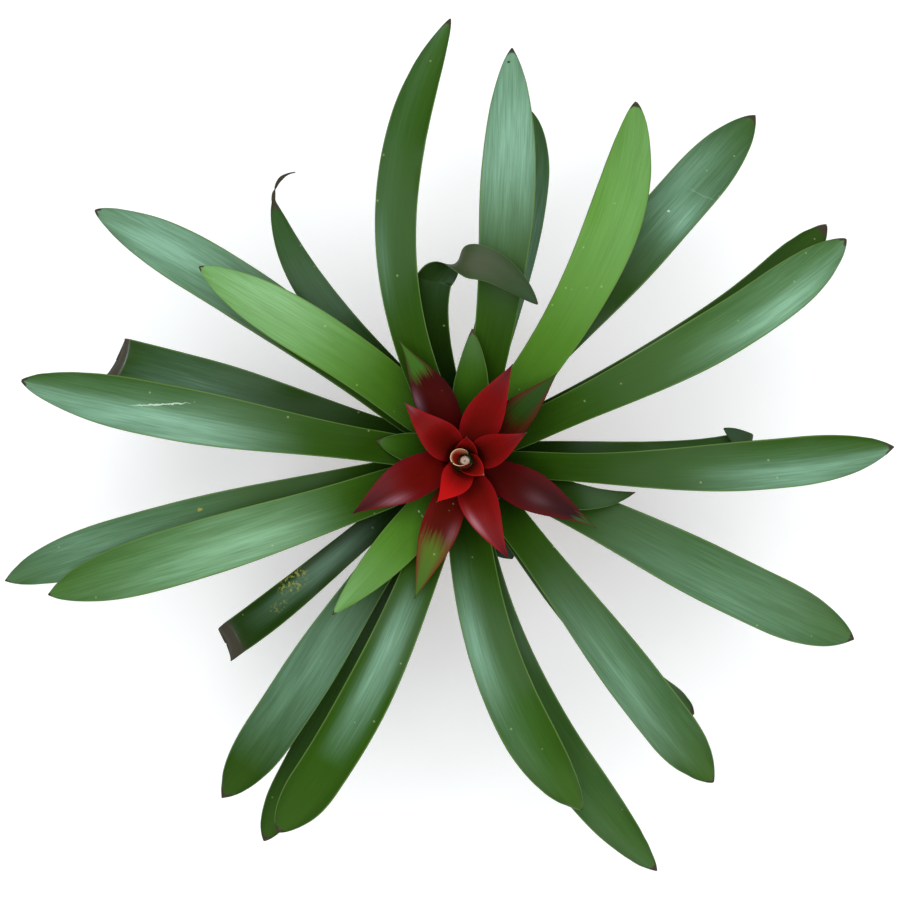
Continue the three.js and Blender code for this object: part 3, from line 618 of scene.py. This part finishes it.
def lay_blade(leaf, kind, finish, underside):
    """One leaf: a flat grid laid along the leaf's line, waved at its margins and given thickness."""
    rows = leaf_rows(leaf, kind)
    columns = kind["columns"]
    bpy.ops.object.select_all(action="DESELECT")
    bpy.ops.mesh.primitive_grid_add(x_subdivisions=columns, y_subdivisions=len(rows) - 1, size=2)
    blade = bpy.context.object
    blade.name = blade.data.name = leaf["name"] + "_blade"
    mesh = blade.data
    for title in GUIDES:
        mesh.attributes.new(title, "FLOAT", "POINT")
    mesh.attributes.new("grain", "FLOAT_VECTOR", "POINT")
    guides = {title: [0.0] * len(mesh.vertices) for title in GUIDES}
    grain = []
    thinning = blade.vertex_groups.new(name="thickness")
    seed = sum(ord(letter) * (place + 3) for place, letter in enumerate(leaf["name"])) % 97
    thickest = kind["thickness"]
    for vertex in mesh.vertices:
        across = vertex.co.x
        row = rows[round((vertex.co.y + 1) / 2 * (len(rows) - 1))]
        length = rows[0]["to_go"] - row["to_go"]
        free = smooth(row["distance"], WAVES_FROM, WAVES_FULL)
        near_tip = 1 - smooth(row["to_go"], RAGGED_TIP_FULL, RAGGED_TIP_END)
        wander = noise.noise(Vector((length * WANDER_STEP, seed + math.copysign(7, across), 0)))
        torn = kind["ragged"] * (0.4 + 1.6 * near_tip) * wander * min(1, row["to_go"] / 12)
        width = row["width"] + torn
        angle = across * width * row["roll"] / 2
        radius = 1 / row["roll"]
        ripple = math.sin(length * SLOW_WAVE + seed)
        ripple += 0.5 * math.sin(length * QUICK_WAVE + 2 * seed + across)
        rise = kind["wave"] * free * abs(across) ** WAVES_AT_MARGIN * ripple
        point = row["place"] + row["side"] * radius * math.sin(angle)
        point = point + row["normal"] * (radius * (1 - math.cos(angle)) + rise)
        if row["past"]:
            fullness = min(1, row["width"] / leaf["width"])
            drawn_in = leaf.get("hollow", 0) * (1 - across ** 2) + leaf.get("slant", 0) * across
            point = point - row["heading"] * drawn_in * row["past"] * fullness
        vertex.co = point * MM
        thinner = lerp(1, MARGIN_THICKNESS, abs(across) ** 3)
        thinning.add([vertex.index], row["thickness"] / thickest * thinner, "REPLACE")
        dry = leaf["dry"] + min(leaf["dry"], 3) * abs(across)
        guides["along"][vertex.index] = row["along"]
        guides["across"][vertex.index] = across
        guides["bloom_and_sheen"][vertex.index] = bloom_and_sheen_at(leaf, row["along"], across)
        guides["tone"][vertex.index] = leaf["tone"]
        guides["dry"][vertex.index] = 1 - smooth(row["to_go"], DRY_HEART * dry, DRY_END * dry + 0.1)
        grain += [across * row["width"] / 2, length, seed]
    for title, values in guides.items():
        mesh.attributes[title].data.foreach_set("value", values)
    mesh.attributes["grain"].data.foreach_set("vector", grain)

    mesh.materials.append(finish)
    mesh.materials.append(underside)
    shell = blade.modifiers.new("thickness", "SOLIDIFY")
    shell.thickness = thickest * MM
    shell.offset = 0
    shell.vertex_group = thinning.name
    shell.material_offset = 1
    bpy.ops.object.modifier_apply(modifier=shell.name)
    rounding = blade.modifiers.new("rounding", "SUBSURF")
    rounding.levels = rounding.render_levels = 1
    bpy.ops.object.modifier_apply(modifier=rounding.name)
    bpy.ops.object.shade_smooth()
    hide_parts(leaf["name"])
    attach(blade, "root")


def mark_mask(tree, grain, across, along, turn, width, length, broken):
    """Where a mark of some width and length lies on a leaf, turned from the leaf's own line."""
    wobble = add_node(tree, "ShaderNodeTexNoise", {"Vector": grain, "Scale": 0.35}).outputs["Color"]
    centring = {0: wobble, 1: (-0.5, -0.5, -0.5)}
    shift = add_node(tree, "ShaderNodeVectorMath", centring, operation="ADD").outputs[0]
    moving = {0: shift, 1: (MARK_WOBBLE, MARK_WOBBLE, 0), 2: grain}
    moved = add_node(tree, "ShaderNodeVectorMath", moving, operation="MULTIPLY_ADD").outputs[0]
    placing = {
        "Vector": moved, "Location": (across, along, 0),
        "Rotation": (0, 0, math.radians(turn)), "Scale": (width / 2, length / 2, 1e6),
    }
    placed = add_node(tree, "ShaderNodeMapping", placing, vector_type="TEXTURE").outputs[0]
    away = add_node(tree, "ShaderNodeVectorMath", {0: placed}, operation="LENGTH").outputs["Value"]
    mask = span(tree, away, 1.0, 0.55)
    if broken:
        mask = maths(tree, "MULTIPLY", mask, span(tree, noise_at(tree, grain, 0.45, 4.0), 0.5, 0.6))
    return mask


def blade_finish(name, stops, margin, bloom_and_sheen, bright, dull, edge, gloss=0.34, torn=0.04,
                 shine=0.12, warm_bloom_and_sheen=None, marks=()):
    """A glossy blade: colours along it, margins, bloom with painted sheen, veins, specks, marks and a dried
    tip.
    """
    shade_of_dry = paint(66, 60, 44)
    finish, tree, surface = start_finish(name)

    def guide(title):
        return add_node(tree, "ShaderNodeAttribute", attribute_name=title).outputs["Fac"]

    def stretched(scale):
        return add_node(tree, "ShaderNodeMapping", {"Vector": grain, "Scale": scale}).outputs[0]

    grain = add_node(tree, "ShaderNodeAttribute", attribute_name="grain").outputs["Vector"]
    fine = noise_at(tree, stretched((0.9, 0.025, 1)), 1.0, 4.0, 0.6)
    broad = noise_at(tree, stretched((0.13, 0.012, 1)), 1.0, 3.0)
    spots = noise_at(tree, grain, 0.5, 5.0, 0.7)

    shifted = maths(tree, "MULTIPLY", maths(tree, "SUBTRACT", fine, 0.5), torn)
    ramp = add_node(tree, "ShaderNodeValToRGB", {"Fac": maths(tree, "ADD", guide("along"), shifted)})
    for place, _ in stops[2:]:
        ramp.color_ramp.elements.new(place)
    for element, (place, colour) in zip(ramp.color_ramp.elements, stops):
        element.position = place
        element.color = colour
    colour = ramp.outputs["Color"]

    off_centre = maths(tree, "ABSOLUTE", guide("across"))
    colour = mix(tree, span(tree, off_centre, 0.35, 1.0, 0.0, 0.75), colour, margin)
    lighter = span(tree, guide("tone"), 0.0, 1.0)
    outwards = span(tree, guide("along"), 0.0, 0.7, 0.35, 1.0)
    fresher = maths(tree, "MULTIPLY", lighter, outwards)
    colour = mix(tree, fresher, colour, bright)
    colour = mix(tree, span(tree, guide("tone"), 0.0, -1.0), colour, dull)
    # The pale bloom with painted sheen: the leaf's waxy bloom with the reflection of the light painted over
    # it, in streaks and patches.
    streaked = maths(tree, "MULTIPLY", guide("bloom_and_sheen"), span(tree, fine, 0.3, 0.7, 0.8, 1.14))
    patched = maths(tree, "MULTIPLY", streaked, span(tree, broad, 0.3, 0.7, 0.78, 1.14))
    warmer = span(tree, guide("tone"), 0.05, 0.6)
    colour = mix(tree, patched, colour, mix(tree, warmer, bloom_and_sheen, warm_bloom_and_sheen or bloom_and_sheen))
    colour = mix(tree, 0.16, colour, mix(tree, fine, paint(20, 30, 10), paint(235, 245, 200)), "OVERLAY")
    colour = mix(tree, 0.12, colour, mix(tree, broad, paint(40, 50, 30), paint(220, 230, 190)), "OVERLAY")
    edge_line = span(tree, off_centre, 0.93, 0.985)
    colour = mix(tree, maths(tree, "MULTIPLY", edge_line, 0.7), colour, edge)
    cells = add_node(tree, "ShaderNodeTexVoronoi", {"Vector": grain, "Scale": 0.1})
    chosen = add_node(tree, "ShaderNodeSeparateColor", {0: cells.outputs["Color"]}).outputs[0]
    dots = span(tree, cells.outputs["Distance"], 0.1, 0.05)
    specks = maths(tree, "MULTIPLY", dots, span(tree, chosen, 0.7, 0.72))
    colour = mix(tree, maths(tree, "MULTIPLY", specks, 0.28), colour, paint(190, 204, 140))
    for across, along, turn, width, length, shade, strength, broken in marks:
        mask = mark_mask(tree, grain, across, along, turn, width, length, broken)
        colour = mix(tree, maths(tree, "MULTIPLY", mask, strength), colour, shade)
    dried = span(tree, maths(tree, "ADD", guide("dry"), maths(tree, "MULTIPLY", spots, 0.5)), 0.4, 1.15)
    colour = mix(tree, dried, colour, shade_of_dry)
    tree.links.new(colour, surface.inputs["Base Color"])

    matt = span(tree, fine, 0.3, 0.7, gloss - 0.05, gloss + 0.08)
    tree.links.new(maths(tree, "MAXIMUM", matt, dried), surface.inputs["Roughness"])
    surface.inputs["Specular IOR Level"].default_value = shine
    surface.inputs["Specular Tint"].default_value = (0.82, 0.95, 1, 1)
    surface.inputs["Coat Weight"].default_value = shine / 4
    surface.inputs["Coat Roughness"].default_value = 0.25
    waves = {"Vector": grain, "Scale": 0.22, "Distortion": 2.5, "Detail": 2.0}
    veins = add_node(tree, "ShaderNodeTexWave", waves).outputs["Fac"]
    relief = maths(tree, "ADD", maths(tree, "MULTIPLY", veins, 0.5), fine)
    bump = add_node(tree, "ShaderNodeBump", {"Strength": 0.3, "Distance": 0.08 * MM, "Height": relief})
    tree.links.new(bump.outputs["Normal"], surface.inputs["Normal"])
    return finish


def leaf_skin(name, marks=()):
    """The upper side of a green leaf, with any marks of its own."""
    # The green darkens towards the foot: partly the leaf's own colour, partly painted shade in the crowded
    # middle of the rosette.
    stops = [
        (0, paint(34, 60, 8)), (0.3, paint(43, 75, 7)), (0.7, paint(50, 86, 16)), (1, paint(60, 94, 28)),
    ]
    # The bloom colour is a pale waxy bloom tinted bluish by a painted sheen, the reflection of the light.
    return blade_finish(
        name, stops, margin=paint(44, 76, 12), bloom_and_sheen=paint(138, 180, 160), bright=paint(92, 142, 46),
        dull=paint(22, 40, 10), edge=paint(96, 126, 60), warm_bloom_and_sheen=paint(140, 186, 134), marks=marks)


SCRATCH = paint(206, 226, 206)
YELLOW = paint(150, 150, 66)
# Marks that a leaf has alone: place across and along it in millimetres, turn in degrees, width,
# length, colour, strength, and whether the mark is broken up.
LEAF_MARKS = {
    "leaf_02": [(-2.5, 202, -58, 0.8, 18, SCRATCH, 0.22, True)],
    "leaf_04": [(3.6, 266, 12.6, 1.2, 48, SCRATCH, 0.75, False)],
    "leaf_08": [(-1.8, 330, 0, 2.6, 2.6, paint(30, 30, 26), 0.9, False)],
    "leaf_12": [
        (8, 291, -74, 1.2, 26, SCRATCH, 0.12, False),
        (-1.5, 266, 0, 2.2, 2.2, SCRATCH, 0.8, False),
    ],
    "leaf_14": [(8, 227, 0, 2.4, 4, YELLOW, 0.9, False), (0, 227, 0, 2.4, 5, YELLOW, 0.6, False)],
    "leaf_21": [(6, 185, 0, 17, 30, YELLOW, 0.8, True), (-1, 205, 0, 9, 20, YELLOW, 0.35, True)],
}
green_leaf = leaf_skin("green_leaf")
leaf_underside = blade_finish(
    "leaf_underside",
    [(0, paint(70, 92, 50)), (0.78, paint(104, 84, 76)), (0.88, paint(62, 72, 46)), (1, paint(26, 78, 48))],
    margin=paint(60, 74, 40), bloom_and_sheen=paint(90, 96, 86), bright=paint(96, 110, 66), dull=paint(52, 72, 44),
    edge=paint(84, 94, 62), gloss=0.5)
for leaf in LONG_LEAVES:
    marks = LEAF_MARKS.get(leaf["name"])
    skin = leaf_skin(leaf["name"] + "_skin", marks) if marks else green_leaf
    lay_blade(leaf, LONG_BLADE, skin, leaf_underside)


# Short leaves
# The small green leaves just under the flower head, softer and more upright than the long ones,
# each one ending in a fine dark point.
SHORT_BLADE = dict(thickness=1.2, point=0.85, columns=12, rows=40, wave=0.4, ragged=0.2)
SHORT_LEAVES = [
    dict(name="short_leaf_1", whorl="short_leaves", near=(3, 29), far=(5, 58), tip=(5, 86, 228),
         height=215, width=26, taper=54, tone=0.15, bloom_and_sheen=(0.5, 0.9, 0, 0.03, -0.3), dry=3),
    dict(name="short_leaf_2", whorl="short_leaves", near=(-19, 5), far=(-39, 9), tip=(-58, 13, 220),
         height=204, width=23, taper=34, tone=0.1, bloom_and_sheen=(0.5, 0.9, 0, 0, 0), dry=2),
    dict(name="short_leaf_3", whorl="short_leaves", near=(-27, -36), far=(-55, -67), tip=(-85, -99, 241),
         height=233, width=28, taper=76, tone=0.6, bloom_and_sheen=(0.6, 1, 0.4, 0.4, 0.3), dry=2),
    dict(name="short_leaf_4", whorl="fifth_leaves", near=(12, -21), far=(22, -43), tip=(34, -69, 168),
         height=159, width=25, taper=14, tone=-0.6, bloom_and_sheen=(0.5, 0.9, 0.02, 0, 0), dry=0),
    dict(name="short_leaf_5", whorl="second_leaves", near=(39, -14), far=(75, -24), tip=(113, -21, 216),
         height=208, width=21, taper=66, tone=-0.5, bloom_and_sheen=(0.5, 0.9, 0.02, 0.04, 0.3), dry=4),
]
scratched_leaf = leaf_skin("scratched_leaf", [(2, 110, 76, 1.6, 14, SCRATCH, 0.7, True)])
for leaf in SHORT_LEAVES:
    skin = scratched_leaf if leaf["name"] == "short_leaf_3" else green_leaf
    lay_blade(leaf, SHORT_BLADE, skin, leaf_underside)


# Bracts
# The coloured leaves of the flower head: waxy, glossy and deep red, brighter at their margins. The
# outer ones turn maroon and then green towards their tips, and three form cups round the bud.
BRACT_BLADE = dict(thickness=0.9, point=1.12, columns=16, rows=48, wave=0.3, ragged=0.15)
CUP_BLADE = dict(thickness=0.9, point=1.2, columns=32, rows=36, wave=0, ragged=0)
DEEP_RED = paint(96, 16, 10)
BRIGHT_RED = paint(182, 22, 22)
MAROON = paint(66, 14, 16)
# A painted pink sheen: the reflection of the light on the waxy bracts.
PINK_SHEEN = paint(226, 176, 200)
# The same numbers as for a long leaf, with the name of its colours and, for a bract of the cup, the
# radius that it is rolled to. On a bract the bloom and sheen numbers and the spots are painted sheen
# and highlights alone.
BRACTS = [
    dict(name="cup_bract_1", whorl="bud_cup", near=(-3, 0), far=(-5.7, 0), tip=(-8, -1, 265),
         height=246, width=30, taper=10, look="cream", rolled=5.6, tone=0, bloom_and_sheen=(0.5, 0.9, 0, 0, 0),
         point=0.7, dry=0),
    dict(name="cup_bract_2", whorl="small_cup", near=(3.8, -2.5), far=(7.8, -5.5), tip=(12, -9, 262),
         height=247, width=22, taper=18, look="orange_tip", tone=0.2, bloom_and_sheen=(0.5, 0.9, 0, 0, 0),
         rolled=7, dry=0),
    dict(name="cup_bract_3", whorl="tall_cup", near=(0.5, 5.2), far=(0.8, 10.4), tip=(1, 15, 262),
         height=246, width=28, taper=22, look="red", tone=0.3, bloom_and_sheen=(0.5, 0.9, 0, 0, 0), rolled=8,
         dry=0),
    dict(name="bract_01", whorl="bright_bract", near=(-3.5, -8.3), far=(-9.5, -17), tip=(-18, -26, 260),
         height=245, width=32, taper=36, look="red", tone=0.8, bloom_and_sheen=(0.5, 0.9, 0, 0, 0), point=1.25,
         dry=1),
    dict(name="bract_02", whorl="inner_bracts", near=(-12, 11), far=(-25, 23), tip=(-38, 37, 262),
         height=251, width=27, taper=46, look="red", tone=0.1, bloom_and_sheen=(0.6, 0.9, 0.01, 0.02, 0),
         spots=[(0.92, 0.2, 0.1, 0.5, 0.1)], dry=1),
    dict(name="bract_03", whorl="inner_bracts", near=(13, 5), far=(26, 11), tip=(39, 18, 262),
         height=249, width=26, taper=40, look="red", tone=0.1, bloom_and_sheen=(0.5, 0.8, 0.01, 0, 0), dry=1),
    dict(name="bract_04", whorl="middle_bracts", near=(9, 21), far=(19, 41), tip=(30, 61, 256),
         height=243, width=28, taper=50, look="red", tone=-0.2, bloom_and_sheen=(0.5, 0.9, 0.01, 0, 0), dry=1),
    dict(name="bract_05", whorl="middle_bracts", near=(-24, -7), far=(-48, -19), tip=(-72, -34, 250),
         height=243, width=28, taper=46, look="maroon", tone=0, bloom_and_sheen=(0.35, 0.6, 0.02, 0, 0.9),
         spots=[(0.6, -0.62, 0.12, 0.25, 0.2)], point=1.2, dry=1),
    dict(name="bract_06", whorl="middle_bracts", near=(7, -21), far=(16, -42), tip=(28, -62, 252),
         height=243, width=27, taper=50, look="red", tone=-0.05, bloom_and_sheen=(0.3, 0.5, 0.02, 0, 0.8),
         spots=[(0.52, 0.72, 0.14, 0.18, 0.4)], dry=1),
    dict(name="bract_07", whorl="outer_bracts", near=(-13, 27), far=(-27, 53), tip=(-42, 77, 250),
         height=238, width=28, taper=50, look="green_tip", tone=0, bloom_and_sheen=(0.3, 0.5, 0, 0, -1.0),
         spots=[(0.48, -0.8, 0.1, 0.2, 0.22)], point=1.35, dry=2),
    dict(name="bract_08", whorl="outer_bracts", near=(29, -13), far=(57, -27), tip=(84, -43, 247),
         height=238, width=28, taper=55, look="green_point", tone=-0.25, bloom_and_sheen=(0.4, 0.6, 0, 0, 0.2),
         spots=[(0.5, 0.2, 0.1, 0.3, 0.06)], point=1.3, dry=2),
    dict(name="bract_09", whorl="outer_bracts", near=(-11, -30), far=(-22, -60), tip=(-32, -88, 247),
         height=238, width=26, taper=55, look="half_green", tone=0, bloom_and_sheen=(0.3, 0.5, 0, 0, -0.8),
         spots=[(0.44, -0.7, 0.08, 0.25, 0.12)], dry=2),
    dict(name="bract_10", whorl="outer_bracts", near=(22, 19), far=(41, 37), tip=(59, 56, 246),
         height=236, width=25, taper=50, look="green", tone=0, bloom_and_sheen=(0.3, 0.5, 0, 0, 0), dry=1),
]
LEAF_GREEN = paint(58, 98, 30)
# Each look's colours, from the foot of a bract at 0 to its tip at 1. The darker red at the foot of
# the red and orange-tipped looks is partly painted shade near the middle of the flower head.
BRACT_COLOURS = {
    "cream": [
        (0, BRIGHT_RED), (0.5, paint(150, 40, 30)), (0.85, paint(200, 140, 104)), (1, paint(224, 176, 130)),
    ],
    "red": [(0, DEEP_RED), (0.5, paint(122, 16, 14)), (0.8, paint(108, 14, 18)), (1, paint(62, 10, 20))],
    "orange_tip": [
        (0, DEEP_RED), (0.6, paint(140, 20, 16)), (0.88, paint(160, 40, 22)), (1, paint(230, 160, 96)),
    ],
    "maroon": [
        (0, paint(104, 14, 8)), (0.5, paint(98, 12, 10)), (0.78, paint(70, 8, 12)), (1, paint(40, 8, 12)),
    ],
    "green_tip": [(0, paint(76, 12, 8)), (0.62, paint(62, 10, 10)), (0.72, LEAF_GREEN), (1, LEAF_GREEN)],
    "green_point": [
        (0, paint(84, 16, 10)), (0.5, paint(60, 10, 10)), (0.8, paint(38, 8, 12)), (0.86, paint(46, 80, 36)),
    ],
    "half_green": [
        (0, paint(86, 16, 8)), (0.46, paint(84, 18, 12)), (0.6, paint(82, 104, 30)), (1, LEAF_GREEN),
    ],
    "green": [
        (0, paint(84, 16, 10)), (0.34, paint(64, 22, 10)), (0.5, paint(36, 56, 12)), (1, paint(40, 76, 22)),
    ],
}
BRACT_MARGINS = {
    "cream": paint(228, 186, 146), "orange_tip": BRIGHT_RED, "maroon": paint(100, 14, 20),
    "green_tip": paint(58, 12, 14), "green_point": paint(88, 12, 18), "half_green": paint(104, 20, 18),
    "green": paint(84, 14, 18),
}
bract_finishes = {}
for look, stops in BRACT_COLOURS.items():
    margin = BRACT_MARGINS.get(look, paint(140, 18, 22))
    bract_finishes[look] = blade_finish(
        look + "_bract", stops, margin=margin, bloom_and_sheen=PINK_SHEEN, bright=paint(196, 22, 24), dull=MAROON,
        edge=margin, shine=0.04, torn=0.3 if "green" in look else 0.1)
bract_underside = blade_finish(
    "bract_underside", [(0, paint(104, 28, 22)), (1, paint(110, 38, 36))], margin=paint(100, 24, 24),
    bloom_and_sheen=PINK_SHEEN, bright=paint(140, 34, 30), dull=MAROON, edge=paint(130, 40, 40), gloss=0.45)
for bract in BRACTS:
    kind = CUP_BLADE if WHORLS[bract["whorl"]]["room"] > 2 else BRACT_BLADE
    lay_blade(bract, kind, bract_finishes[bract["look"]], bract_underside)


# Bud
# The closed flower bud in the innermost cup: a smooth cream body of waxy sepals folded over each
# other, with a darker dent where they meet at the top.
BUD_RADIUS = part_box("bud")[1].x / MM
BUD_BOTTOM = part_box("bud")[0].z / MM
BUD_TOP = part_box("bud")[1].z / MM
# Pairs of radius and height, as shares of the bud's own.
BUD_SHAPE = [
    (0.62, 0), (0.82, 0.12), (0.94, 0.3), (1, 0.5), (0.99, 0.68),
    (0.9, 0.82), (0.72, 0.93), (0.45, 0.985), (0.22, 0.97), (0.06, 0.93),
]
BUD_SIDES = 48
SEPALS = 3
SEPAL_TWIST = 40
CREASE_DEPTH = 0.08


def bud_finish():
    """Waxy cream with grey-brown shading in the dent."""
    finish, tree, surface = start_finish("bud_wax")
    place = add_node(tree, "ShaderNodeTexCoord").outputs["Object"]
    parts = add_node(tree, "ShaderNodeSeparateXYZ", {0: place})
    squares = [maths(tree, "POWER", parts.outputs[axis], 2.0) for axis in ("X", "Y")]
    radius = maths(tree, "SQRT", maths(tree, "ADD", *squares))
    dent = span(tree, radius, 0.3 * BUD_RADIUS * MM, 0.75 * BUD_RADIUS * MM, 1.0, 0.0)
    mottle = noise_at(tree, place, 700.0, 4.0)
    colour = mix(tree, span(tree, mottle, 0.35, 0.65), paint(186, 160, 140), paint(222, 204, 186))
    colour = mix(tree, maths(tree, "MULTIPLY", dent, 0.75), colour, paint(116, 96, 72))
    tree.links.new(colour, surface.inputs["Base Color"])
    surface.inputs["Roughness"].default_value = 0.32
    surface.inputs["Coat Weight"].default_value = 0.3
    bump = add_node(tree, "ShaderNodeBump", {"Strength": 0.3, "Distance": 0.1 * MM, "Height": mottle})
    tree.links.new(bump.outputs["Normal"], surface.inputs["Normal"])
    return finish


bud_outline = [(across * BUD_RADIUS, lerp(BUD_BOTTOM, BUD_TOP, up)) for across, up in BUD_SHAPE]
bud = raise_rings("flower_bud", bud_outline, BUD_SIDES)
for vertex in bud.data.vertices:
    bearing = math.atan2(vertex.co.y, vertex.co.x)
    fold = abs(math.sin(SEPALS * bearing / 2 + SEPAL_TWIST * (vertex.co.z - BUD_BOTTOM * MM)))
    crease = 1 - CREASE_DEPTH * (1 - fold) ** 4
    vertex.co.x *= crease
    vertex.co.y *= crease
bpy.ops.object.shade_smooth()
bud.data.materials.append(bud_finish())
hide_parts("bud")
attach(bud, "root")


# Studio
# A plain pale floor under plain soft light, seen by a camera that looks straight down on the plant
# as the photograph does.
CAMERA_PLACE = (-9.4, 6.9, 1100)
CAMERA_LENS = 53.54
FLOOR_SIZE = 6

bpy.ops.object.select_all(action="DESELECT")
bpy.ops.mesh.primitive_plane_add(size=FLOOR_SIZE, location=(0, 0, 0))
floor = bpy.context.object
floor.name = "studio_floor"
paper, tree, surface = start_finish("studio_paper")
surface.inputs["Base Color"].default_value = (0.93, 0.93, 0.93, 1)
surface.inputs["Emission Color"].default_value = (1, 1, 1, 1)
surface.inputs["Emission Strength"].default_value = 0.22
surface.inputs["Roughness"].default_value = 0.9
surface.inputs["Specular IOR Level"].default_value = 0.1
floor.data.materials.append(paper)

world = bpy.data.worlds.new("studio_air")
bpy.context.scene.world = world
world.use_nodes = True
air = world.node_tree
seen = add_node(air, "ShaderNodeLightPath").outputs["Is Camera Ray"]
air.nodes["Background"].inputs["Color"].default_value = (0.95, 0.98, 1, 1)
air.links.new(span(air, seen, 0.0, 1.0, 0.16, 0.85), air.nodes["Background"].inputs["Strength"])


def soft_light(name, place, aim, size, watts, colour=(1, 1, 1)):
    """A square soft box that faces a point."""
    lamp = bpy.data.lights.new(name, "AREA")
    lamp.size = size
    lamp.energy = watts
    lamp.color = colour
    box = bpy.data.objects.new(name, lamp)
    bpy.context.scene.collection.objects.link(box)
    box.location = place
    box.rotation_euler = (Vector(aim) - Vector(place)).to_track_quat("-Z", "Y").to_euler()


soft_light("overhead_box", (-0.2, 0.25, 2.4), (0, 0, 0.2), 2.6, 66, (0.96, 0.99, 1))
soft_light("side_box", (1.9, -1.5, 1.5), (0, 0, 0.15), 1.6, 20)

lens = bpy.data.cameras.new("overhead_camera")
lens.lens = CAMERA_LENS
lens.sensor_width = 36
camera = bpy.data.objects.new("overhead_camera", lens)
camera.location = [value * MM for value in CAMERA_PLACE]
bpy.context.scene.collection.objects.link(camera)
bpy.context.scene.camera = camera
bpy.context.scene.view_settings.view_transform = "Standard"
